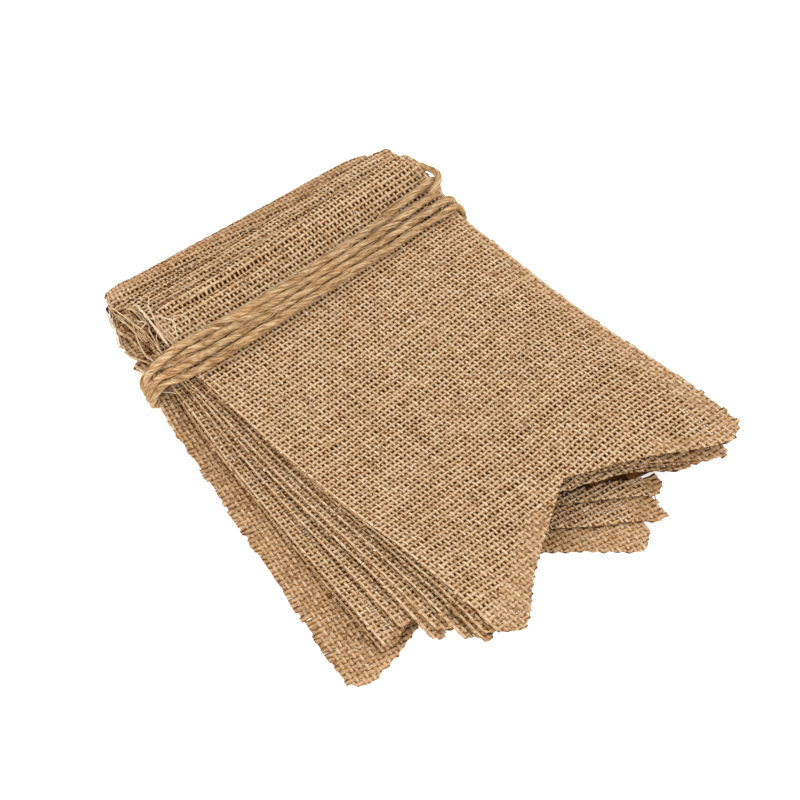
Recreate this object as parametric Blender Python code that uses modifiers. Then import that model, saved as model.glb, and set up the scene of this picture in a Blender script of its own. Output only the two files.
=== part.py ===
# Fabric bunting: a fanned stack of burlap swallowtail pennants, each with its head turned
# under as a casing for the string, tied round the heading with four turns of jute twine.
# Lengths below are in millimetres, +Z up. X runs along the heading, the tips point towards -Y,
# and the stack lies on z = 0.

import math

import bpy
import numpy as np

OBJECT_NAME = "fabric_bunting"
MM = 0.001

# One pennant
WIDTH = 142.0
NOTCH_DEPTH = 40.0
HEAD_WEAR = 2.5          # and the ends of the head fold
CASING_DEPTH = 21.0      # cloth turned under at the head
CLOTH = 1.0
CLEAR = 0.42             # air between neighbouring layers
HALF_COLUMNS = (0.0, 0.19, 0.37, 0.54, 0.7, 0.84, 0.93, 1.0)    # from the middle out to an edge
SIDE_BEND = 420.0        # radius the stack bends to across the pennants
FACE_BEND = 300.0        # and along them, from the tie to the tips

# The tie
TWINE = 2.9
TWINE_CLEAR = 0.55

# Mesh and height-field steps
CASING_ROWS = 5
FOLD_ROWS = 4
HEAD_ROWS = 11           # closer together over the first part of the face
HEAD_LENGTH = 42.0
FACE_ROWS = 6
CELL = 2.0
EDGE_CARE = 1.2          # how far past an outline the layers below still count
FIELD_X = (-140.0, 116.0)
FIELD_Y = (-226.0, 64.0)

# One row per pennant, the lowest first.
# turn: degrees clockwise seen from above; x, y: the middle of its head fold
# length: head fold to tips; skew: degrees the fold lies out of square, right end back
# uneven: left tip longer, right tip shorter by this; taper: narrower at each side of the tips
# wear: how far the outer corners of the tips are worn round
# loop: how far the casing stands open; droop: radius its head bends down to behind the stack
# ruffle, phase: rise of the left edge and where along it; lift: how far the right side is held up
PENNANTS = [
    {"turn": 13.2, "x": -6.5, "y": 4.0, "length": 205, "skew": 8.0, "uneven": 3.0, "taper": 1, "wear": 9,
     "loop": 0.3, "droop": 34, "ruffle": 0.0, "phase": 0.0, "lift": 0.0},
    {"turn": 10.8, "x": 2.0, "y": 22.0, "length": 223, "skew": 3.0, "uneven": 2.0, "taper": 7, "wear": 9,
     "loop": 0.5, "droop": 60, "ruffle": 0.7, "phase": 0.4, "lift": 0.0},
    {"turn": 9.4, "x": 3.5, "y": 38.0, "length": 229, "skew": 4.5, "uneven": 7.0, "taper": 3, "wear": 9,
     "loop": 1.8, "droop": 110, "ruffle": 0.9, "phase": 1.6, "lift": 0.6},
    {"turn": 7.4, "x": 5.0, "y": 41.0, "length": 223, "skew": 4.0, "uneven": 4.0, "taper": 3, "wear": 9,
     "loop": 2.2, "droop": 110, "ruffle": 0.4, "phase": 2.9, "lift": 0.0},
    {"turn": 5.0, "x": 2.0, "y": 31.0, "length": 225, "skew": 2.0, "uneven": 4.0, "taper": 2, "wear": 9,
     "loop": 0.3, "droop": 60, "ruffle": 1.1, "phase": 4.0, "lift": 0.6},
    {"turn": 4.2, "x": 1.5, "y": 25.0, "length": 222, "skew": 1.0, "uneven": 4.0, "taper": 2, "wear": 9,
     "loop": 0.3, "droop": 40, "ruffle": 0.5, "phase": 5.2, "lift": 0.5},
    {"turn": 3.6, "x": 4.0, "y": 24.5, "length": 225, "skew": 4.0, "uneven": 5.0, "taper": 2, "wear": 8,
     "loop": 0.4, "droop": 40, "ruffle": 0.8, "phase": 0.9, "lift": 2.0},
    {"turn": 3.2, "x": 5.0, "y": 19.5, "length": 225, "skew": 5.0, "uneven": 5.0, "taper": 3, "wear": 8,
     "loop": 1.0, "droop": 34, "ruffle": 0.6, "phase": 2.2, "lift": 3.0},
    {"turn": 1.4, "x": 1.5, "y": 10.5, "length": 212, "skew": 1.0, "uneven": 4.0, "taper": 1, "wear": 7,
     "loop": 0.3, "droop": 34, "ruffle": 0.4, "phase": 3.3, "lift": 2.4},
    {"turn": 0.6, "x": -0.4, "y": 4.5, "length": 210, "skew": 1.0, "uneven": 4.0, "taper": 0, "wear": 6,
     "loop": 2.8, "droop": 34, "ruffle": 0.0, "phase": 0.0, "lift": 2.0},
]

# One row per turn of the tie, in the order the twine takes them: where it lies on top at the
# left end, the middle and the right end, where it reaches the underside at the left, and how
# far it stands out there to pass over its neighbour
TURNS = [
    {"left": -20.0, "middle": -22.2, "right": -18.5, "foot": -5.5, "over": 0.0},
    {"left": -15.5, "middle": -19.1, "right": -12.5, "foot": -8.6, "over": 3.6},
    {"left": -24.4, "middle": -25.3, "right": -24.2, "foot": -11.8, "over": 2.2},
    {"left": -29.0, "middle": -28.4, "right": -29.0, "foot": -15.0, "over": 0.0},
]
FALL_FROM, FALL_TO = 27.0, 9.0   # the heights between which they draw together at the left
LEFT_EDGE = -66.0                # and the x from which they may
TAIL_AIM = {"right": -38.0}      # where the tail would come out at the right
MOUTH_BACK = 3.2         # the twine leaves the top casing this far in front of the fold
# and crosses over the second turn's right-hand corner: offsets from there on the way
CORNER_ROUTE = [(-1.8, 8.0, 0.2), (-0.5, 3.5, 0.2), (-0.8, -1.0, 1.2), (-3.9, -4.9, 1.0), (-9.0, -7.4, -0.9)]
TOP_START = 66.0
TAIL_END = -50.0         # x of the tail, tucked under the stack
TWINE_SLACK = 0.22       # how far a straight piece of its route may cut inside the curve

BURLAP_COLOUR = (0.50, 0.36, 0.22, 1.0)
TWINE_COLOUR = (0.52, 0.36, 0.19, 1.0)

grid_x = np.arange(FIELD_X[0], FIELD_X[1], CELL)
grid_y = np.arange(FIELD_Y[0], FIELD_Y[1], CELL)
field_x, field_y = np.meshgrid(grid_x, grid_y, indexing="ij")


def clear_scene():
    for item in list(bpy.data.objects):
        bpy.data.objects.remove(item, do_unlink=True)


def new_collection(name):
    group = bpy.data.collections.new(name)
    bpy.context.scene.collection.children.link(group)
    return group


def material(name, colour, roughness):
    paint = bpy.data.materials.new(name)
    paint.use_nodes = True
    shader = paint.node_tree.nodes["Principled BSDF"]
    shader.inputs["Base Color"].default_value = colour
    shader.inputs["Roughness"].default_value = roughness
    shader.inputs["Metallic"].default_value = 0.0
    return paint


# ---- how a pennant lies on what is below it ----

def spread(field, axis, bend, sign):
    """Each cell lifted (sign 1) or lowered (sign -1) to the curve of its highest or lowest neighbour."""
    pick = np.maximum if sign > 0 else np.minimum
    out = field.copy()
    reach = int(math.sqrt(2 * bend * 34.0) / CELL)
    for step in range(1, min(reach, field.shape[axis] - 1) + 1):
        drop = sign * (step * CELL) ** 2 / (2 * bend)
        near = [slice(None), slice(None)]
        far = [slice(None), slice(None)]
        near[axis] = slice(step, None)
        far[axis] = slice(None, -step)
        near, far = tuple(near), tuple(far)
        out[near] = pick(out[near], field[far] - drop)
        out[far] = pick(out[far], field[near] - drop)
    return out


def slope(field, axis):
    """The gentler of the slopes to either side, so that an outline's edge doesn't count."""
    step = np.abs(np.diff(field, axis=axis)) / CELL
    first, last = np.take(step, [0], axis), np.take(step, [-1], axis)
    return np.minimum(np.concatenate([first, step], axis), np.concatenate([step, last], axis))


def drape(below, inside, droop):
    """The lowest stiff sheet over the part of `below` inside its outline, and its steepness."""
    sheets = []
    for bend in (droop, FACE_BEND):
        sheet = np.where(inside, below, -60.0)
        for sign in (1, -1):
            sheet = spread(sheet, 0, SIDE_BEND, sign)
            sheet = spread(sheet, 1, bend, sign)
        sheets.append(sheet)
    blend = np.clip((field_y + 75.0) / 45.0, 0, 1)
    blend = blend * blend * (3 - 2 * blend)
    sheet = blend * sheets[0] + (1 - blend) * sheets[1]
    steep = sum(slope(sheet, axis) ** 2 for axis in (0, 1))
    return sheet, np.sqrt(1 + np.minimum(steep, 0.5))


def between(heights, row, column, pick):
    """Height of a grid of flat triangles, the lower or the higher way to split each square."""
    r = np.clip(row.astype(int), 0, heights.shape[0] - 2)
    c = np.clip(column.astype(int), 0, heights.shape[1] - 2)
    s, t = row - r, column - c
    a, b, d, e = heights[r, c], heights[r + 1, c], heights[r, c + 1], heights[r + 1, c + 1]
    one = np.where(s + t < 1, a + s * (b - a) + t * (d - a), e + (1 - s) * (d - e) + (1 - t) * (b - e))
    two = np.where(s > t, a + s * (b - a) + t * (e - b), a + t * (d - a) + s * (e - d))
    return pick(one, two)


def settle(grid, row, column, below, inside, droop):
    """Lays a grid of cloth on `below`; returns its points and its underside and top."""
    sheet, upright = drape(below, inside, droop)
    x, y = grid
    heights = sample(sheet + (CLEAR + CLOTH / 2) * upright, x, y)
    needed = below + (CLEAR + CLOTH / 2) * upright
    r = np.clip(row.astype(int), 0, x.shape[0] - 2)
    c = np.clip(column.astype(int), 0, x.shape[1] - 2)
    for again in range(12):
        lack = np.where(inside, needed - between(heights, row, column, np.minimum), 0.0)
        lift = np.zeros_like(heights)
        for dr in (0, 1):
            for dc in (0, 1):
                np.maximum.at(lift, (r + dr, c + dc), lack)
        heights = heights + 0.5 * lift
    underside = between(heights, row, column, np.minimum) - CLOTH / 2 * upright
    top = between(heights, row, column, np.maximum) + CLOTH / 2 * upright
    return (x, y, heights), (underside, top)


def sample(field, x, y):
    """Height of a field at points between its cells."""
    i = np.clip((np.asarray(x) - FIELD_X[0]) / CELL, 0, len(grid_x) - 1.001)
    j = np.clip((np.asarray(y) - FIELD_Y[0]) / CELL, 0, len(grid_y) - 1.001)
    a, b = i.astype(int), j.astype(int)
    s, t = i - a, j - b
    return ((1 - s) * (1 - t) * field[a, b] + s * (1 - t) * field[a + 1, b]
            + (1 - s) * t * field[a, b + 1] + s * t * field[a + 1, b + 1])


# ---- a pennant's own outline ----

def to_world(pennant, u, v):
    turn = math.radians(pennant["turn"])
    return (pennant["x"] + u * math.cos(turn) + v * math.sin(turn),
            pennant["y"] - u * math.sin(turn) + v * math.cos(turn))


def to_local(pennant, x, y):
    turn = math.radians(pennant["turn"])
    x, y = x - pennant["x"], y - pennant["y"]
    return (x * math.cos(turn) - y * math.sin(turn), x * math.sin(turn) + y * math.cos(turn))


def fold_line(pennant, u):
    worn = np.clip((np.abs(u) / (WIDTH / 2) - 0.82) / 0.18, 0, 1)
    return u * math.tan(math.radians(pennant["skew"])) - HEAD_WEAR * worn ** 2


def tip_line(pennant, u):
    """The swallowtail end: a notch in the middle, and worn corners."""
    side = np.clip(np.abs(u) / (WIDTH / 2), 0, 1)
    worn = np.clip((side - 0.84) / 0.16, 0, 1)
    reach = pennant["length"] - pennant["uneven"] * np.asarray(u) / (WIDTH / 2)
    return -reach + NOTCH_DEPTH * (1 - side) + pennant["wear"] * worn ** 2


def narrowing(pennant, v):
    """Share of the full width left at v."""
    return 1 - pennant["taper"] / (WIDTH / 2) * np.clip(-np.asarray(v) / pennant["length"], 0, 1) ** 2


def columns():
    half = np.array(HALF_COLUMNS) * WIDTH / 2
    return np.concatenate([-half[:0:-1], half])


def casing_grid(pennant):
    """The turned-under cloth: its grid from the raw edge to the fold, and each cell's place in it."""
    us, deeps = columns(), np.linspace(CASING_DEPTH, 0, CASING_ROWS + 1)
    twist = 2 * math.radians(pennant["skew"])
    deep = deeps[:, None]
    grid = to_world(pennant, us + deep * math.sin(twist), fold_line(pennant, us) - deep * math.cos(twist))
    u, v = to_local(pennant, field_x, field_y)
    across, deep = u, 0 * u
    for again in range(3):
        deep = (fold_line(pennant, across) - v) / math.cos(twist)
        across = u - deep * math.sin(twist)
    inside = (np.abs(across) < WIDTH / 2 + EDGE_CARE) & (deep > -2.5) & (deep < CASING_DEPTH + 2.5)
    row = np.interp(-deep, -deeps, np.arange(len(deeps)))
    return grid, row, np.interp(across, us, np.arange(len(us))), inside


def face_grid(pennant):
    """The face from the fold to the tips: its grid, and each cell's place in it."""
    us, head = columns(), HEAD_LENGTH / pennant["length"]
    parts = np.concatenate([np.linspace(0, head, HEAD_ROWS + 1), np.linspace(head, 1, FACE_ROWS + 1)[1:]])
    edge, end = fold_line(pennant, us), tip_line(pennant, us)
    v = edge + parts[:, None] * (end - edge)
    grid = to_world(pennant, us * narrowing(pennant, v), v)
    u, v = to_local(pennant, field_x, field_y)
    u = u / narrowing(pennant, v)
    edge, end = fold_line(pennant, u), tip_line(pennant, u)
    inside = (np.abs(u) < WIDTH / 2 + EDGE_CARE) & (v < edge + 2.0) & (v > end - 2.5)
    row = np.interp((v - edge) / (end - edge), parts, np.arange(len(parts)))
    return grid, row, np.interp(u, us, np.arange(len(us))), inside, u, v


def tie_line(side, x):
    """Where one turn of the tie crosses at x."""
    s = np.asarray(x) / 75.0
    bow = side["middle"] - (side["left"] + side["right"]) / 2
    return (side["left"] + side["right"]) / 2 + s * (side["right"] - side["left"]) / 2 + bow * (1 - s * s)


def under_line(turn, following, x):
    """Where the twine runs under the stack, from one turn's left foot to the next one's right."""
    s = np.clip((np.asarray(x) + 85.0) / 160.0, 0, 1)
    return turn["foot"] + s * (following["right"] - turn["foot"])


def lay_stack():
    """Heights of every pennant, from the lowest up, and of the finished stack."""
    under = [under_line(a, b, field_x) for a, b in zip(TURNS, TURNS[1:] + [TAIL_AIM])]
    rear, front = np.max(under, axis=0) + TWINE / 2, np.min(under, axis=0) - TWINE / 2
    top = np.where((field_y < rear) & (field_y > front) & (field_x > -98), TWINE, -CLEAR)
    laid = []
    for pennant in PENNANTS:
        grid, row, column, turned = casing_grid(pennant)
        casing, lower = settle(grid, row, column, top, turned, pennant["droop"])
        top = np.where(turned, lower[1], top)

        grid, row, column, body, u, v = face_grid(pennant)
        behind = fold_line(pennant, u) - v
        along = np.clip(behind / (pennant["length"] - NOTCH_DEPTH), 0, 1)
        side = np.clip(u / (WIDTH / 2), -1, 1)
        rise = pennant["loop"] * (1 + 0.4 * side) * np.exp(-(np.clip(behind, -3, 90) / 8.0) ** 2)
        rise = rise + (pennant["ruffle"] * np.clip(-side, 0, 1) ** 2 * along
                       * (1 + np.sin(pennant["phase"] + 5.5 * along)))
        rise = rise + pennant["lift"] * (0.5 + 0.5 * side) ** 1.5 * along ** 0.8
        face, upper = settle(grid, row, column, top + rise, body, pennant["droop"])
        radius = (face[2][0] - casing[2][-1]).max() / 2 + CLOTH
        nose = (np.abs(u) < WIDTH / 2 + EDGE_CARE) & (behind < 0) & (behind > -radius - 1.5)
        top = np.where(body | nose, upper[1], top)
        laid.append({"casing": casing, "face": face, "lower": lower, "upper": upper})
    return laid, top


# ---- solids ----

def add_pennant(name, pennant, sheet, group, cloth):
    """One continuous sheet: casing edge, head fold, face, tips; thickened to the cloth."""
    casing, face = np.stack(sheet["casing"], 2), np.stack(sheet["face"], 2)
    low, high = casing[-1, :, 2], face[0, :, 2]
    radius, us = (high - low) / 2, columns()
    rows = list(casing)
    for angle in np.radians(np.linspace(-90, 90, FOLD_ROWS + 1))[1:-1]:
        x, y = to_world(pennant, us, fold_line(pennant, us) + radius * math.cos(angle))
        rows.append(np.stack([x, y, (low + high) / 2 + radius * math.sin(angle)], 1))
    rows += list(face)

    points = (np.concatenate(rows) * MM).tolist()
    wide = len(us)
    faces = [(r * wide + c, (r + 1) * wide + c, (r + 1) * wide + c + 1, r * wide + c + 1)
             for r in range(len(rows) - 1) for c in range(wide - 1)]
    mesh = bpy.data.meshes.new(name)
    mesh.from_pydata(points, [], faces)
    mesh.validate()
    item = bpy.data.objects.new(name, mesh)
    group.objects.link(item)
    item.data.materials.append(cloth)
    thicken = item.modifiers.new("cloth", "SOLIDIFY")
    thicken.thickness = CLOTH * MM
    thicken.offset = 0.0
    thicken.use_even_offset = True
    return item


def fallen(x, z):
    """How far down the left side a point of a turn is, 0 to 1."""
    beyond = np.clip((LEFT_EDGE - np.asarray(x)) / 7.0, 0, 1)
    return np.clip((FALL_FROM - z) / (FALL_FROM - FALL_TO), 0, 1) * beyond


def turn_line(turn, x, z):
    """Where a turn crosses at x; on its way down the left side it shifts to its foot."""
    y = tie_line(turn, np.clip(x, -75, 75))
    down = fallen(x, z)
    return y + (turn["foot"] - y) * down * down * (3 - 2 * down)


def side_edges(sheet):
    """Points close together along the left and right edges of a pennant's casing and face."""
    points = []
    for grid in (sheet["casing"], sheet["face"]):
        for side in (0, -1):
            edge = np.stack([axis[:, side] for axis in grid], 1)
            fine = np.arange(0, len(edge) - 1, 0.1)
            points.append(np.stack([np.interp(fine, range(len(edge)), axis) for axis in edge.T], 1))
    return np.concatenate(points)


def taut_section(turn, laid):
    """The stack cut along one turn of the tie: the convex line a taut twine takes round it."""
    corners = [(-60.0, 0.0), (40.0, 0.0)]
    xs = np.arange(-70.0, 76.0, 2.0)
    edges = np.concatenate([side_edges(sheet) for sheet in laid])
    for shift in (-1.6, 0.0, 1.6):
        near = edges[:, 1] - turn_line(turn, edges[:, 0], edges[:, 2]) - shift
        beside = edges[np.abs(near) < 1.0]
        corners += [(x, z + h) for x, y, z in beside for h in (-CLOTH / 2, CLOTH / 2)]
        ys = tie_line(turn, xs) + shift
        for pennant, sheet in zip(PENNANTS, laid):
            on = np.abs(to_local(pennant, xs, ys)[0]) < WIDTH / 2
            corners += list(zip(xs[on], sample(sheet["upper"][1], xs, ys)[on]))
    return convex_hull([(x, max(z, TWINE + TWINE_CLEAR)) for x, z in corners])


def convex_hull(points):
    """Counter-clockwise hull of (x, z) points."""
    points = sorted(set((round(float(x), 3), round(float(z), 3)) for x, z in points))

    def half(run):
        out = []
        for p in run:
            while len(out) > 1 and ((out[-1][0] - out[-2][0]) * (p[1] - out[-2][1])
                                    - (out[-1][1] - out[-2][1]) * (p[0] - out[-2][0])) <= 0:
                out.pop()
            out.append(p)
        return out[:-1]

    return half(points) + half(points[::-1])


def pushed_out(hull, out):
    """The hull's outline moved outwards, rounding its corners."""
    loop = []
    for k, (x, z) in enumerate(hull):
        (px, pz), (nx, nz) = hull[k - 1], hull[(k + 1) % len(hull)]
        before, after = math.atan2(px - x, z - pz), math.atan2(x - nx, nz - z)
        while after < before - 1e-9:
            after += 2 * math.pi
        for angle in np.linspace(before, after, max(1, int((after - before) / 0.3) + 1)):
            loop.append((x + out * math.cos(angle), z + out * math.sin(angle)))
    return loop


def turn_points(before, turn, following, laid):
    """One turn: along the underside, up the right end, over the top, down the left, and back."""
    loop = np.array(pushed_out(taut_section(turn, laid), TWINE / 2 + TWINE_CLEAR))
    start = int(np.flatnonzero((loop[:-1, 0] < 0) & (loop[1:, 0] >= 0))[0]) + 1
    loop = np.concatenate([[(0.0, TWINE / 2)], np.roll(loop, -start, axis=0), [(0.0, TWINE / 2)]])
    step = np.diff(loop, axis=0)
    run = np.concatenate([[0], np.cumsum(np.hypot(*step.T))])
    heading = np.unwrap(np.arctan2(step[:, 1], step[:, 0]))
    points = []
    for mark in np.sort(np.concatenate([run[:-1], np.arange(1.0, run[-1], 2.0)])):
        x, z = np.interp(mark, run, loop[:, 0]), np.interp(mark, run, loop[:, 1])
        angle = np.interp(mark, (run[:-1] + run[1:]) / 2, heading)
        if z < TWINE / 2 + (0.2 if x < 0 else 3.0):
            y = under_line(before, turn, x) if mark < run[-1] / 2 else under_line(turn, following, x)
        else:
            y = turn_line(turn, x, z)
            out = turn["over"] * math.sin(math.pi * fallen(x, z)) ** 0.6
            x, z = x + out * math.sin(angle), z - out * math.cos(angle)
        points.append((float(x), float(y), max(float(z), TWINE / 2)))
    return points


def thin_out(points, most):
    """Leaves out the points that a straight run misses by no more than `most`."""
    first, last = np.array(points[0]), np.array(points[-1])
    along = (last - first) / np.linalg.norm(last - first)
    offset = np.array(points) - first
    missed = np.linalg.norm(offset - np.outer(offset @ along, along), axis=1)
    worst = int(missed.argmax())
    if missed[worst] <= most or len(points) < 3:
        return [points[0], points[-1]]
    return thin_out(points[:worst + 1], most)[:-1] + thin_out(points[worst:], most)


def tie_route(laid):
    """The twine: out of the top casing's right-hand mouth, then four turns round the stack."""
    top = PENNANTS[-1]
    lower, upper = laid[-1]["lower"], laid[-1]["upper"]
    route = []
    for u in (0.80 * WIDTH / 2, 0.90 * WIDTH / 2, WIDTH / 2):
        x, y = to_world(top, u, fold_line(top, u) - MOUTH_BACK)
        floor, roof = float(sample(lower[1], x, y)), float(sample(upper[0], x, y))
        route.append((float(x), float(y), (floor + roof) / 2))
    crossed = TURNS[1]
    loop = pushed_out(taut_section(crossed, laid), 1.5 * TWINE + 2 * TWINE_CLEAR)
    corner_x, corner_z = max(loop, key=lambda p: 2 * p[0] + p[1])
    route += [(corner_x + dx, crossed["right"] + dy, corner_z + dz) for dx, dy, dz in CORNER_ROUTE]
    for number, turn in enumerate(TURNS):
        before, following = TURNS[max(number - 1, 0)], (TURNS[1:] + [TAIL_AIM])[number]
        points = turn_points(before, turn, following, laid)
        if number == 0:
            points = points[next(k for k, p in enumerate(points) if p[0] < TOP_START and p[2] > 15):]
        if following is TAIL_AIM:
            points = [p for p in points if p[2] > TWINE / 2 or p[0] > 0 or p[0] < TAIL_END]
        route += points
    return thin_out(route, TWINE_SLACK)


def add_twine(route, group, paint):
    curve = bpy.data.curves.new("twine_tie", "CURVE")
    curve.dimensions = "3D"
    curve.bevel_depth = TWINE / 2 * MM
    curve.bevel_resolution = 2
    curve.use_fill_caps = True
    line = curve.splines.new("POLY")
    line.points.add(len(route) - 1)
    for point, place in zip(line.points, route):
        point.co = (*(c * MM for c in place), 1.0)
    item = bpy.data.objects.new("twine_tie", curve)
    group.objects.link(item)
    item.data.materials.append(paint)
    return item


def centre_on_floor(items):
    """Moves everything so that the middle of its box stands over the origin."""
    bpy.context.view_layer.update()
    shape = bpy.context.evaluated_depsgraph_get()
    corners = []
    for item in items:
        solid = item.evaluated_get(shape).to_mesh()
        corners += [tuple(item.matrix_world @ v.co) for v in solid.vertices]
    corners = np.array(corners)
    middle = (corners.min(0) + corners.max(0)) / 2
    for item in items:
        item.location = (-middle[0], -middle[1], 0.0)


if __name__ == "__main__":
    clear_scene()
    build = new_collection(OBJECT_NAME)
    laid, top = lay_stack()
    burlap = material("burlap", BURLAP_COLOUR, 0.95)
    jute = material("jute_twine", TWINE_COLOUR, 0.9)
    items = []
    for number, (pennant, sheet) in enumerate(zip(PENNANTS, laid), 1):
        items.append(add_pennant(f"pennant_{number:02d}", pennant, sheet, build, burlap))
    items.append(add_twine(tie_route(laid), build, jute))
    centre_on_floor(items)
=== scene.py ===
# Fabric bunting: ten burlap pennants lying fanned in a stack, tied round the heading with twine.
# Every pennant is woven thread by thread where it shows, and is a thin plain sheet where the
# pennants above it hide it. Lengths in the tables are millimetres, in the frame of the CAD.
import math

import bmesh
import bpy
import numpy as np
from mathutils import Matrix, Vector
from mathutils.bvhtree import BVHTree


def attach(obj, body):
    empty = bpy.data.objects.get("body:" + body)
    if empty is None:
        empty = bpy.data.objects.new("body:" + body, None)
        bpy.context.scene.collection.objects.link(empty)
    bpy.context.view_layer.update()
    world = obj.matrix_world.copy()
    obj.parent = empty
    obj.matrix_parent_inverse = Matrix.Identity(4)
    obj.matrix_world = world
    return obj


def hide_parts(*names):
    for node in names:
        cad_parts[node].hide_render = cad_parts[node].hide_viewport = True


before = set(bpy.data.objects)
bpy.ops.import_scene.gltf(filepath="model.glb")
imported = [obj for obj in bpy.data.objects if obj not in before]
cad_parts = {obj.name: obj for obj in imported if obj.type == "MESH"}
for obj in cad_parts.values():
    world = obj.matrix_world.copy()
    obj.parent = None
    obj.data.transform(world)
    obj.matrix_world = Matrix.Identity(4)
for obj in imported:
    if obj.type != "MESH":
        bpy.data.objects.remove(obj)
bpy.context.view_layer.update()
bpy.ops.object.select_all(action="DESELECT")
mm = 0.001

camera = {"place": (-404.85, -454.34, 661.4), "aim": (12.66, -0.36, 0.0), "lens": 99, "clip": 0.01}


def addCamera():
    bpy.ops.object.camera_add(location=Vector(camera["place"]) * mm)
    eye = bpy.context.object
    eye.name = "camera"
    eye.data.lens = camera["lens"]
    eye.data.clip_start = camera["clip"]
    towards = Vector(camera["aim"]) - Vector(camera["place"])
    eye.rotation_euler = towards.to_track_quat("-Z", "Y").to_euler()
    bpy.context.scene.camera = eye


addCamera()
print("camera in place")


# materials

def newMaterial(name, roughness):
    paint = bpy.data.materials.new(name)
    paint.use_nodes = True
    shader = paint.node_tree.nodes["Principled BSDF"]
    shader.inputs["Roughness"].default_value = roughness
    shader.inputs["Specular IOR Level"].default_value = 0.05
    return paint, shader


def addNode(paint, kind, links=(), **values):
    # links: (input name or number, socket or value); values: properties of the node
    node = paint.node_tree.nodes.new(kind)
    for key, value in values.items():
        setattr(node, key, value)
    for place, socket in links:
        if hasattr(socket, "is_linked"):
            paint.node_tree.links.new(socket, node.inputs[place])
        else:
            node.inputs[place].default_value = socket
    return node


def mathNode(paint, operation, a, b=0.0):
    return addNode(paint, "ShaderNodeMath", [(0, a), (1, b)], operation=operation).outputs[0]


def mapRange(paint, value, toLow, toHigh):
    # noise runs from about 0.3 to 0.7
    return addNode(paint, "ShaderNodeMapRange",
                   [(0, value), (1, 0.3), (2, 0.7), (3, toLow), (4, toHigh)]).outputs[0]


def ramp(paint, factor, stops):
    node = addNode(paint, "ShaderNodeValToRGB", [(0, factor)])
    line = node.color_ramp
    while len(line.elements) < len(stops):
        line.elements.new(0.5)
    for element, (place, colour) in zip(line.elements, stops):
        element.position = place
        element.color = (*colour, 1.0)
    return node.outputs[0]


def addBump(paint, shader, height, strength, distance):
    relief = addNode(paint, "ShaderNodeBump",
                     [("Height", height), ("Strength", strength), ("Distance", distance)])
    paint.node_tree.links.new(relief.outputs[0], shader.inputs["Normal"])


burlapJute = {
    "dark": (0.155, 0.052, 0.007), "tan": (0.525, 0.345, 0.190), "light": (0.760, 0.615, 0.450),
    "warmDark": (0.150, 0.042, 0.008), "warmTan": (0.520, 0.290, 0.130), "warmLight": (0.780, 0.570, 0.360),
    "roughness": 0.95,
    "fibres": 1.6,      # how many streaks of fibre to a millimetre across a thread
    "streak": 0.24,     # how much lighter and darker the streaks are
    "bump": 0.5,
}
twineJute = {
    "dark": (0.140, 0.056, 0.012), "tan": (0.470, 0.300, 0.150), "light": (0.740, 0.570, 0.370),
    "warmDark": (0.150, 0.046, 0.010), "warmTan": (0.460, 0.250, 0.100), "warmLight": (0.660, 0.450, 0.250),
    "roughness": 0.95, "fibres": 2.1, "streak": 0.40, "bump": 1.0,
}


def yarnMaterial(name, jute):
    # "yarn" holds mm along the thread, mm across it and a number of its own;
    # "tone" is how light it is and "warmth" how red; both hold painted shade and painted light as well as the
    # thread's own colour
    paint, shader = newMaterial(name, jute["roughness"])
    yarn = addNode(paint, "ShaderNodeAttribute", attribute_name="yarn")
    tone = addNode(paint, "ShaderNodeAttribute", attribute_name="tone").outputs["Fac"]
    warmth = addNode(paint, "ShaderNodeAttribute", attribute_name="warmth").outputs["Fac"]

    def noise(scale, detail):
        stretched = addNode(paint, "ShaderNodeVectorMath", [(0, yarn.outputs["Vector"]), (1, scale)],
                            operation="MULTIPLY")
        return addNode(paint, "ShaderNodeTexNoise", [("Vector", stretched.outputs[0]), ("Scale", 1.0),
                                                     ("Detail", detail), ("Roughness", 0.55)]).outputs["Fac"]

    fibres = noise((0.22, jute["fibres"], 3.1), 3.0)       # long fine fibres
    blotches = noise((0.55, 0.8, 1.7), 2.0)                # patches of one thread
    lightness = mathNode(paint, "ADD", tone, mapRange(paint, fibres, -jute["streak"], jute["streak"]))
    lightness = mathNode(paint, "ADD", lightness, mapRange(paint, blotches, -0.12, 0.12))
    cool = ramp(paint, lightness, [(0.0, jute["dark"]), (0.5, jute["tan"]), (1.0, jute["light"])])
    warm = ramp(paint, lightness, [(0.0, jute["warmDark"]), (0.5, jute["warmTan"]), (1.0, jute["warmLight"])])
    mix = addNode(paint, "ShaderNodeMix", [(0, warmth), (6, cool), (7, warm)], data_type="RGBA")
    paint.node_tree.links.new(mix.outputs[2], shader.inputs["Base Color"])
    addBump(paint, shader, fibres, jute["bump"], 0.00025)
    return paint


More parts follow.
